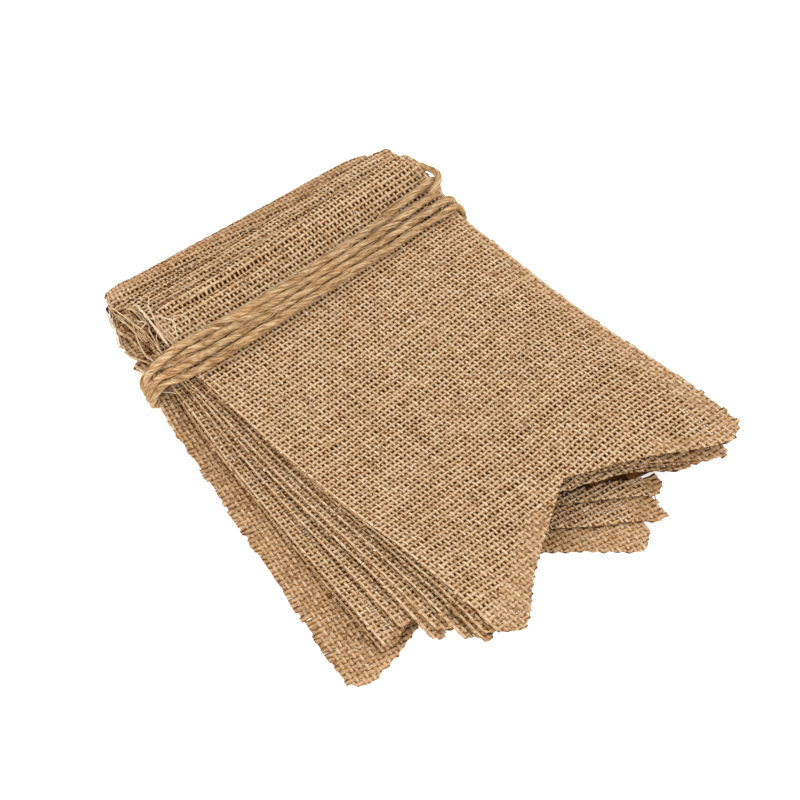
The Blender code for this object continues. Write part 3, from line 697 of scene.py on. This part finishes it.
def hiddenUnder(number, lie, u, w, margin):
    # True where the pennants above, or its own face, hide this point well
    p = lie["p"]
    x, y = np.moveaxis(onCloth(lie, u, w), -1, 0)[:2]
    hidden = np.zeros(u.shape, dtype=bool)
    for above in pennants[number:]:
        across, along = toPennant(above, x, y)
        hidden |= ((np.abs(across) < halfWidth * narrowing(above, along) - margin)
                   & (along < foldLine(above, across) - margin) & (along > tipLine(above, across) + margin))
    behind = w - foldLine(p, u)
    turned = (behind > math.pi * foldRadius(lie, u) + 4) & (np.abs(u) < halfWidth - 2 * margin)
    if number < len(pennants):
        turned |= (behind > 4) & (np.abs(u) < halfWidth - margin) & hidden
    return hidden | turned


def paintedCoverShade(number, lie, u, w):
    # painted shade beside the pennants above, how much darker it makes the cloth, or painted light (below 0),
    # how much lighter it makes the cloth beyond their tips
    x, y = np.moveaxis(onCloth(lie, u, w), -1, 0)[:2]
    shade, light = np.zeros(u.shape), np.zeros(u.shape)
    for above, other in zip(pennants[number:], lies[number:]):
        across, along = toPennant(above, x, y)
        ahead = along - foldLine(above, across) - foldRadius(other, across)
        beside = np.abs(across) - halfWidth * narrowing(above, along)
        behind = tipLine(above, across) - along
        away = np.maximum(np.maximum(ahead, beside), behind)
        headLine = cloth["headDepth"] * above.get("ledge", 0.3) * (1 - 0.6 * np.clip(u / halfWidth, -1, 1))
        headLine = headLine * np.clip(2 - 2 * away / cloth["headReach"], 0, 1)
        edgeLine = np.where(beside >= away, cloth["sideDepth"], cloth["tipDepth"])
        edgeLine = edgeLine * np.exp(-np.clip(away / cloth["sideReach"], 0, 4) ** 2)
        shade = np.maximum(shade, np.where(ahead >= away, headLine, edgeLine))
        glow = cloth["tipPaintedLight"] * np.exp(-np.maximum(away, 0) / cloth["tipReach"])
        light = np.maximum(light, (behind >= away) * glow)
    return shade - light


def nothingBelow(number, lie, u, w):
    # True where the floor is the next thing under this pennant, or nearly so
    x, y = np.moveaxis(onCloth(lie, u, w), -1, 0)[:2]
    bare = np.ones(u.shape, dtype=bool)
    for below in pennants[:number - 1]:
        across, along = toPennant(below, x, y)
        bare &= ((np.abs(across) > halfWidth - cloth["floorEdge"])
                 | (along > foldLine(below, across) - cloth["floorHead"])
                 | (along < tipLine(below, across) + cloth["floorEdge"]))
    return bare


def drift(rng, rows, marks, waves):
    return sum(size * driftingNoise(rng, rows, marks, wavelength) for size, wavelength in waves)


def halves(values):
    # the crossings with the points half-way between them put in
    out = np.empty(2 * len(values) - 1)
    out[::2], out[1::2] = values, (values[1:] + values[:-1]) / 2
    return out


def threadSet(rng, count, marks):
    # how wide, light and red each thread is along its length
    fat = np.clip(rng.normal(1, 0.035, count), 0.8, 1.25)[:, None]
    fat = fat * (1 + drift(rng, count, marks, cloth["slubs"]))
    tone = rng.normal(0, 0.018, count)[:, None] + drift(rng, count, marks, cloth["toneDrift"])
    warmth = rng.normal(0, 0.10, count)[:, None] + drift(rng, count, marks, cloth["warmthDrift"])
    return fat, tone, warmth


def frayed(p, u, w, spare):
    # where the outermost warps have been pulled out
    out = np.zeros(np.shape(u), dtype=bool)
    ahead = foldLine(p, u) - w
    for side, start, stop, depth in p["fray"]:
        ragged = depth * np.clip(np.minimum(ahead - start, stop + 20 - ahead) / 25, 0, 1)
        out |= (side * u > halfWidth - ragged - spare)
    return out


def freeEnd(rng, p, thread, cut, inner, outer, isWeft, ends):
    # the last point of a thread: on to the cut and a little past it or short of it
    u, w = thread[:2]
    sides = halfWidth - abs(u[inner]), halfWidth - abs(u[outer])
    gone = min([a / (a - b) for a, b in ((cut[inner], cut[outer]), sides) if b < 0] or [0.5])
    step = math.hypot(u[outer] - u[inner], w[outer] - w[inner])
    byScissors = cut[outer] < 0 and abs(u[outer]) < halfWidth
    past = rng.uniform(*(cloth["cutEnds"] if byScissors else ends))
    reach = max(gone * step + past, 0.25) / step
    tip = thread[:, inner].copy()
    tip[:2] += reach * (thread[:2, outer] - thread[:2, inner])
    if isWeft and not byScissors:
        tip[1] += rng.normal(0, 0.25)
    tip[2] *= 0.5
    tip[4] *= 0.7
    if not byScissors:
        tip[3] *= 0.72
        return tip
    slope = tipLine(p, tip[0] + 0.5) - tipLine(p, tip[0] - 0.5)
    if not isWeft:
        tip[7] = tip[3] * slope
    elif abs(slope) > 0.3:
        tip[7] = -tip[3] / slope
    return tip


def cutThread(rng, number, lie, thread, isWeft, keep, ends):
    # the runs of one thread that show, cut where it leaves the cloth or goes out of sight; its rows are
    # u, w, lift, half width, half height, tone, warmth and the slant of its end
    u, w = thread[:2]
    cut = insideCut(lie, u, w)
    inside = (cut > 0) & (np.abs(u) < halfWidth) & keep
    shown = inside & ~hiddenUnder(number, lie, u, w, cloth["hiddenBehind"])
    marks = np.flatnonzero(np.diff(np.concatenate([[0], shown.astype(int), [0]])))
    runs = []
    for first, last in zip(marks[::2], marks[1::2] - 1):
        if last == first:
            continue
        columns = [thread[:, first:last + 1]]
        for inner, outer in ((first, first - 1), (last, last + 1)):
            if 0 <= outer < len(u) and not inside[outer]:
                tip = freeEnd(rng, lie["p"], thread, cut, inner, outer, isWeft, ends)[:, None]
                columns = [tip] + columns if outer < inner else columns + [tip]
        runs.append((np.concatenate(columns, 1), isWeft, rng.uniform(0, 90)))
    return runs


def weaveThreads(rng, number, lie, ws):
    # the runs of every warp, then of every weft
    p = lie["p"]
    wefts = len(ws)
    us = np.linspace(-halfWidth + 0.55, halfWidth - 0.55, cloth["warps"])
    us = np.concatenate([[-halfWidth - 2.2], us, [halfWidth + 2.2]])
    edgeWarp = np.zeros(len(us), dtype=bool)
    edgeWarp[[1, -2]] = True
    calm = np.ones(len(us))
    calm[[0, 1, -2, -1]] = 0.15

    # where warp and weft cross, with the cloth's own unevenness
    crossU = us[:, None] + calm[:, None] * drift(rng, len(us), ws, cloth["warpDrift"])
    bow = drift(rng, 1, us, cloth["bow"])[0]
    crossW = ws[None, :] + bow[:, None] + drift(rng, wefts, us, cloth["weftDrift"]).T
    warpFat, warpTone, warpWarm = threadSet(rng, len(us), ws)
    weftFat, weftTone, weftWarm = (a.T for a in threadSet(rng, wefts, us))
    warpFat = np.where(edgeWarp[:, None], 0.95, warpFat)
    warpTone = warpTone + np.where(edgeWarp[:, None], cloth["edgeWarpTone"], cloth["warpTone"])
    weftTone = weftTone + cloth["weftTone"]
    signs = np.where(np.add.outer(np.arange(len(us)), np.arange(wefts)) % 2, 1.0, -1.0)

    runs = []
    for i in range(1, len(us) - 1):
        u, w = halves(crossU[i]), halves(crossW[i])
        lift = halves(signs[i] * cloth["crimp"] * (0.5 if edgeWarp[i] else 1.0))
        wide = halves(warpFat[i]) * cloth["warpWide"] / 2
        thread = np.stack([u, w, lift, wide, 0 * u + cloth["warpHigh"], halves(warpTone[i]),
                           halves(warpWarm[i]), 0 * u])
        runs += cutThread(rng, number, lie, thread, False, ~frayed(p, u, w, 0), cloth["warpEnds"])
    for j in range(wefts):
        u, w = halves(crossU[:, j]), halves(crossW[:, j])
        lift = halves(-signs[:, j] * cloth["crimp"] * 0.8)
        wide = halves(weftFat[:, j]) * cloth["weftWide"] / 2
        wide = np.where(frayed(p, u, w, 1.6), np.maximum(wide * 1.12, 1.0), wide)
        thread = np.stack([u, w, lift, wide, 0 * u + cloth["weftHigh"], halves(weftTone[:, j]),
                           halves(weftWarm[:, j]), 0 * u])
        fringed = frayed(p, us[[0, -1]], crossW[[0, -1], j], 2).any()
        ends = cloth["frayedEnds"] if fringed else cloth["weftEnds"]
        runs += cutThread(rng, number, lie, thread, True, True, ends)
    return runs


def threadMesh(number, lie, runs):
    # points, faces, "yarn", "tone" and "warmth" of a pennant's threads
    p = lie["p"]
    lengths = np.array([r[0].shape[1] for r in runs])
    u, w, lift, wide, high, tone, warm, slant = np.concatenate([r[0] for r in runs], 1)
    isWeft = np.repeat([r[1] for r in runs], lengths)
    own = np.repeat([r[2] for r in runs], lengths)
    ahead = foldLine(p, u) - w

    # where the floor lies below: threads closer set, a painted shade over them, and less painted shade at
    # their sides
    overFloor = nothingBelow(number, lie, u, w)
    closed = np.where(isWeft, cloth["closedWeft"], cloth["closedWarp"]) * np.minimum(1, wide / 0.6)
    wide = np.where(overFloor, np.maximum(wide * cloth["overFloor"], closed), wide)
    stackPaintedLight = cloth["stackPaintedLight"] if number < len(pennants) else 0
    tone = tone + np.where(overFloor, cloth["floorPaintedShade"], stackPaintedLight)
    # painted light at the left end of the heading
    tone = tone + cloth["leftPaintedLight"] * ease(-u, *cloth["leftAcross"]) * ease(ahead, *cloth["leftAhead"])
    covered = paintedCoverShade(number, lie, u, w)
    # painted shade where a thread dips under, and the painted shade and light of the pennants above
    tone = tone + cloth["under"] * np.clip(lift / cloth["crimp"], -1, 0) - covered
    # painted shade along the crease
    tone = tone - cloth["creaseShade"] * creased(p, u, ahead)
    # painted shade on the under half of the head fold
    tone = tone - cloth["tucked"] * np.clip(-ahead / foldRadius(lie, u) - 1.2, 0, 1)
    # the painted shade and painted light make the cloth redder too
    warm = warm + cloth["shadeWarmth"] * np.maximum(covered, 0)
    warm = warm + cloth["lightWarmth"] * np.maximum(-covered, 0)

    here, across, along, up = onClothFrames(lie, u, w)
    forward = np.where(isWeft[:, None], across, -along)
    rings = threadRings(here, forward, up, wide, high, lift)
    rings[:, 0] -= forward * slant[:, None]
    rings[:, 2] += forward * slant[:, None]
    rings[:, :, 2] = np.maximum(rings[:, :, 2], 0.02)       # above the floor
    distance = np.where(isWeft, u, -w)
    yarn = np.stack([np.repeat(distance, 3), (np.array([-1.0, 0, 1.0]) * wide[:, None]).ravel(),
                     np.repeat(own, 3)], 1)
    # painted shade at a thread's sides, deepest beside a hole, and a painted highlight 0.35 as strong on its
    # top
    beside = cloth["shade"] + cloth["pinholeShade"] * (1 - np.clip(np.abs(lift) / cloth["crimp"], 0, 1))
    beside = beside * np.where(overFloor, cloth["floorShade"], 1.0)
    toneOut = np.repeat(0.5 + tone, 3) - np.tile([1.0, -0.35, 1.0], len(u)) * np.repeat(beside, 3)
    return rings.reshape(-1, 3), threadFaces(lengths), yarn, toneOut, np.repeat(p["warmth"] + warm, 3)


def hiddenSheet(number, lie, top):
    # the plain sheet where nothing shows, a thin closed slab with the same five things
    p = lie["p"]
    columns = np.linspace(-halfWidth + 1.5, halfWidth - 1.5, 29)
    rows = np.arange(top, -p["length"] - 6, -5.0)
    gridU, gridW = np.meshgrid(columns, rows, indexing="ij")
    covered = hiddenUnder(number, lie, gridU, gridW, cloth["hiddenBehind"] - 1.5)
    covered &= insideCut(lie, gridU, gridW) > 0.8
    cells = covered[:-1, :-1] & covered[1:, :-1] & covered[:-1, 1:] & covered[1:, 1:]
    middle, _, _, out = onClothFrames(lie, gridU, gridW)
    points = np.concatenate([(middle + out * 0.3).reshape(-1, 3), (middle - out * 0.3).reshape(-1, 3)])
    count = gridU.size
    index = np.arange(count).reshape(gridU.shape)
    i, j = np.nonzero(cells)
    a, b, c, d = index[i, j], index[i + 1, j], index[i + 1, j + 1], index[i, j + 1]
    quads = [np.stack([a, d, c, b], 1), np.stack([a, b, c, d], 1) + count]
    padded = np.pad(cells, 1)
    for di, dj, start, end in ((-1, 0, a, d), (0, 1, d, c), (1, 0, c, b), (0, -1, b, a)):
        rim = ~padded[i + 1 + di, j + 1 + dj]
        quads.append(np.stack([start[rim], start[rim] + count, end[rim] + count, end[rim]], 1))
    faces = np.concatenate(quads)
    used, faces = np.unique(faces, return_inverse=True)
    points = points[used]
    points[:, 2] = np.maximum(points[:, 2], 0.02)
    threads = np.stack([gridU.ravel() / 2.1, gridW.ravel() / cloth["weftPitch"], np.full(count, 3.0)], 1)
    # painted shade: the sheet is darker on every pennant but the bottom one
    tone = 1.0 if number == 1 else 0.35
    return (points, faces.reshape(-1, 4), np.concatenate([threads, threads])[used],
            np.full(len(used), tone), np.full(len(used), p["warmth"]))


def weavePennant(number, p, lie):
    rng = np.random.default_rng(100 + number)
    top = halfWidth * abs(math.tan(math.radians(p["skew"]))) + cloth["casing"] + 12
    wefts = int((top + p["length"] + 10) / cloth["weftPitch"])
    runs = weaveThreads(rng, number, lie, top - (np.arange(wefts) + 0.5) * cloth["weftPitch"])
    points, faces, yarn, tone, warmth = threadMesh(number, lie, runs)
    slab, slabFaces, slabYarn, slabTone, slabWarmth = hiddenSheet(number, lie, top)
    looks = np.repeat([0, 1], [sum(len(f) for f in faces), len(slabFaces)])
    faces.append(slabFaces + len(points))
    piece = addMesh(f"pennant_{number:02d}_cloth", np.concatenate([points, slab]), faces,
                    [burlapYarn, burlapFlat],
                    {"yarn": np.concatenate([yarn, slabYarn]), "tone": np.concatenate([tone, slabTone]),
                     "warmth": np.clip(np.concatenate([warmth, slabWarmth]), 0, 1)}, looks)
    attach(piece, "root")
    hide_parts(f"pennant_{number:02d}")
    makeLoose() if number == len(pennants) else []
    return countTriangles(faces)


looseYarns = {
    # pulled out at the left end of the heading, and a few further on: radius, tone, warmth, way
    "yarns": [
        (0.50, 0.85, 0.0, [(-44.2, 99.3, 20.5), (-46.6, 92, 23.6), (-49.3, 84.2, 27.4),
            (-51.4, 77.5, 29.2), (-52.6, 71, 28.6), (-53, 66, 27.2)]),
        (0.34, 0.80, 0.1, [(-47.7, 87.1, 20.6), (-48.5, 85.3, 18.4), (-49.6, 81.4, 17.6),
            (-51, 76.5, 17), (-52.4, 72, 16.6)]),
        (0.36, 0.75, 0.2, [(-48.7, 97.4, 17.2), (-49.7, 95.5, 15), (-50.6, 93.4, 12.6), (-52, 89, 11.6),
            (-53.6, 84, 11.2), (-55.2, 78.4, 11.4)]),
        (0.28, 0.85, 0.0, [(-47.4, 79.5, 31.2), (-46.2, 75.3, 31.2), (-44.6, 73.6, 30.4),
            (-45.2, 70.8, 30.2), (-47.9, 68, 28.6)]),
        (0.22, 0.80, 0.1, [(-45.2, 75.4, 30.8), (-41.6, 74.6, 31), (-39.8, 72.7, 30.4),
            (-39.1, 69.8, 29.6), (-40.4, 67.4, 28.6)]),
        (0.28, 0.82, 0.1, [(-49.9, 90.8, 15.6), (-48.4, 89.2, 19), (-47.4, 87.4, 21.6),
            (-47.8, 91, 19.6), (-49, 94, 18.2)]),
        (0.24, 0.55, 0.9, [(-52.8, 44.4, 15.8), (-51.6, 42, 19.4), (-49.6, 41, 21.8), (-46.2, 40.3, 21.9)]),
        (0.26, 0.75, 0.0, [(-61.4, 66, 6.8), (-58.9, 62.3, 7), (-56.2, 57.4, 8.4)]),
        (0.26, 0.80, 0.1, [(-48.7, 44.2, 21.6), (-49.1, 40.5, 21.6), (-48.3, 36.8, 21.4)]),
        (0.24, 0.20, 0.9, [(49.3, -101.5, 8.4), (50.2, -104.4, 6.6), (49.6, -107.8, 5.2),
            (47.8, -110.4, 2.4)]),
        (0.26, 0.80, 0.1, [(-41.6, 75.6, 30.8), (-45.2, 73, 30.4), (-46.6, 68.9, 28.8), (-48.8, 66, 28)]),
        (0.26, 0.60, 0.4, [(-50.6, 77.9, 31), (-51, 74.6, 29.8), (-51.4, 77, 23), (-51.6, 74.6, 18.6)]),
        (0.34, 0.78, 0.1, [(-37.5, 99.4, 20.8), (-43, 92.5, 24.8), (-48.4, 82, 30.4), (-50.6, 77.6, 31)]),
    ],
    "perEdge": 5,       # warps that have come loose along each left edge beside the heading
    # short fibres on each pennant
    "lint": {10: 420, 9: 60, 8: 50, 7: 50, 6: 40, 5: 40, 4: 70, 3: 60, 2: 60, 1: 110},
    "lintLength": (2.5, 9), "lintRadius": (0.07, 0.12),
}


def pulledYarns(rng):
    tubes = []
    for radius, tone, warmth, way in looseYarns["yarns"]:
        line = evenPath(way, 0.6, 1.1)
        wave = 0.25 * driftingNoise(rng, 3, np.arange(len(line)) * 0.6, 3.0).T
        tubes.append(tube(rng, line + wave, radius, 5, tone, warmth, 2.0))
    for lie in lies[1:]:
        for strand in range(looseYarns["perEdge"]):
            start = rng.uniform(-2, 8)
            ahead = np.linspace(start, start + rng.uniform(8, 22), 16)
            u = 1.2 - halfWidth - 0.6 * strand + 0.9 * driftingNoise(rng, 1, ahead, 6)[0]
            points, _, _, up = onClothFrames(lie, u, foldLine(lie["p"], u) - ahead)
            lift = 0.45 + 0.2 * strand + 0.5 * driftingNoise(rng, 1, ahead, 5)[0]
            line = evenPath(points + up * lift[:, None], 0.8, 0.9)
            tubes.append(tube(rng, line, rng.uniform(0.18, 0.32), 5, rng.uniform(0.6, 0.9),
                              rng.uniform(0.1, 0.6), 1.5))
    return tubes


def lintHair(rng, lie, u, w):
    heading = rng.uniform(0, 2 * math.pi)
    length, bend = rng.uniform(*looseYarns["lintLength"]), rng.normal(0, 1.1)
    share = np.linspace(0, 1, 6)
    turn = heading + bend * share
    us = u + np.cumsum(np.cos(turn)) * length / 6
    ws = w + np.cumsum(np.sin(turn)) * length / 6
    points, _, _, up = onClothFrames(lie, us, ws)
    lift = 0.45 + rng.uniform(0.1, 0.9) * np.sin(math.pi * share)
    return tube(rng, points + up * lift[:, None], rng.uniform(*looseYarns["lintRadius"]), 3,
                rng.choice([0.1, 0.8, 0.9, 1.0]), rng.uniform(0, 0.7), 1.2)


def clothLint(rng):
    hairs = []
    for number, count in looseYarns["lint"].items():
        lie, made = lies[number - 1], 0
        while made < count:
            u, w = rng.uniform(-halfWidth, halfWidth), rng.uniform(-lie["p"]["length"] - 4, 6)
            here = np.array([u]), np.array([w])
            if insideCut(lie, *here)[0] >= 1 and not hiddenUnder(number, lie, *here, 0.3)[0]:
                hairs.append(lintHair(rng, lie, u, w))
                made += 1
    return hairs


def makeLoose():
    rng = np.random.default_rng(77)
    yarns = addTubes("loose_yarns", pulledYarns(rng), burlapYarn)
    return yarns, addTubes("cloth_lint", clothLint(rng), burlapYarn)


lies = [readLie(number, p) for number, p in enumerate(pennants, 1)]
total = sum(weavePennant(number, p, lies[number - 1]) for number, p in enumerate(pennants, 1))
print("pennants woven,", total, "triangles")


studio = {      # in metres and watts
    "floor": (0.90, 0.90, 0.90), "floorSize": 6, "floorZ": -0.0002, "glow": 0.60, "sky": 1.0,
    # place, size and power; every lamp looks at the middle of the stack
    "lamps": {
        "key": ((-0.35, 0.75, 1.1), 0.7, 2.6),
        "fill": ((0.7, -0.9, 1.0), 1.2, 5.5),
        "bounce": ((1.1, -0.6, 0.35), 1.0, 6.0),
        "left": ((-1.2, -0.3, 0.6), 1.0, 8.0),
    },
}
white = (1.0, 1.0, 1.0, 1.0)


def addFloor():
    bpy.ops.mesh.primitive_plane_add(size=studio["floorSize"], location=(0, 0, studio["floorZ"]))
    floor = bpy.context.object
    floor.name = "floor"
    paint, shader = newMaterial("studio_floor", 0.9)
    shader.inputs["Base Color"].default_value = (*studio["floor"], 1.0)
    shader.inputs["Emission Color"].default_value = white
    shader.inputs["Emission Strength"].default_value = studio["glow"]
    floor.data.materials.append(paint)


def addLight():
    world = bpy.data.worlds.new("studio")
    world.use_nodes = True
    sky = world.node_tree.nodes["Background"]
    sky.inputs[0].default_value = white
    sky.inputs[1].default_value = studio["sky"]
    bpy.context.scene.world = world
    for name, (place, size, power) in studio["lamps"].items():
        bpy.ops.object.light_add(type="AREA", location=place)
        lamp = bpy.context.object
        lamp.name = name
        lamp.data.size = size
        lamp.data.energy = power
        lamp.rotation_euler = (-Vector(place)).to_track_quat("-Z", "Y").to_euler()
    bpy.context.scene.view_settings.view_transform = "Standard"


addFloor()
addLight()
print("studio lit")
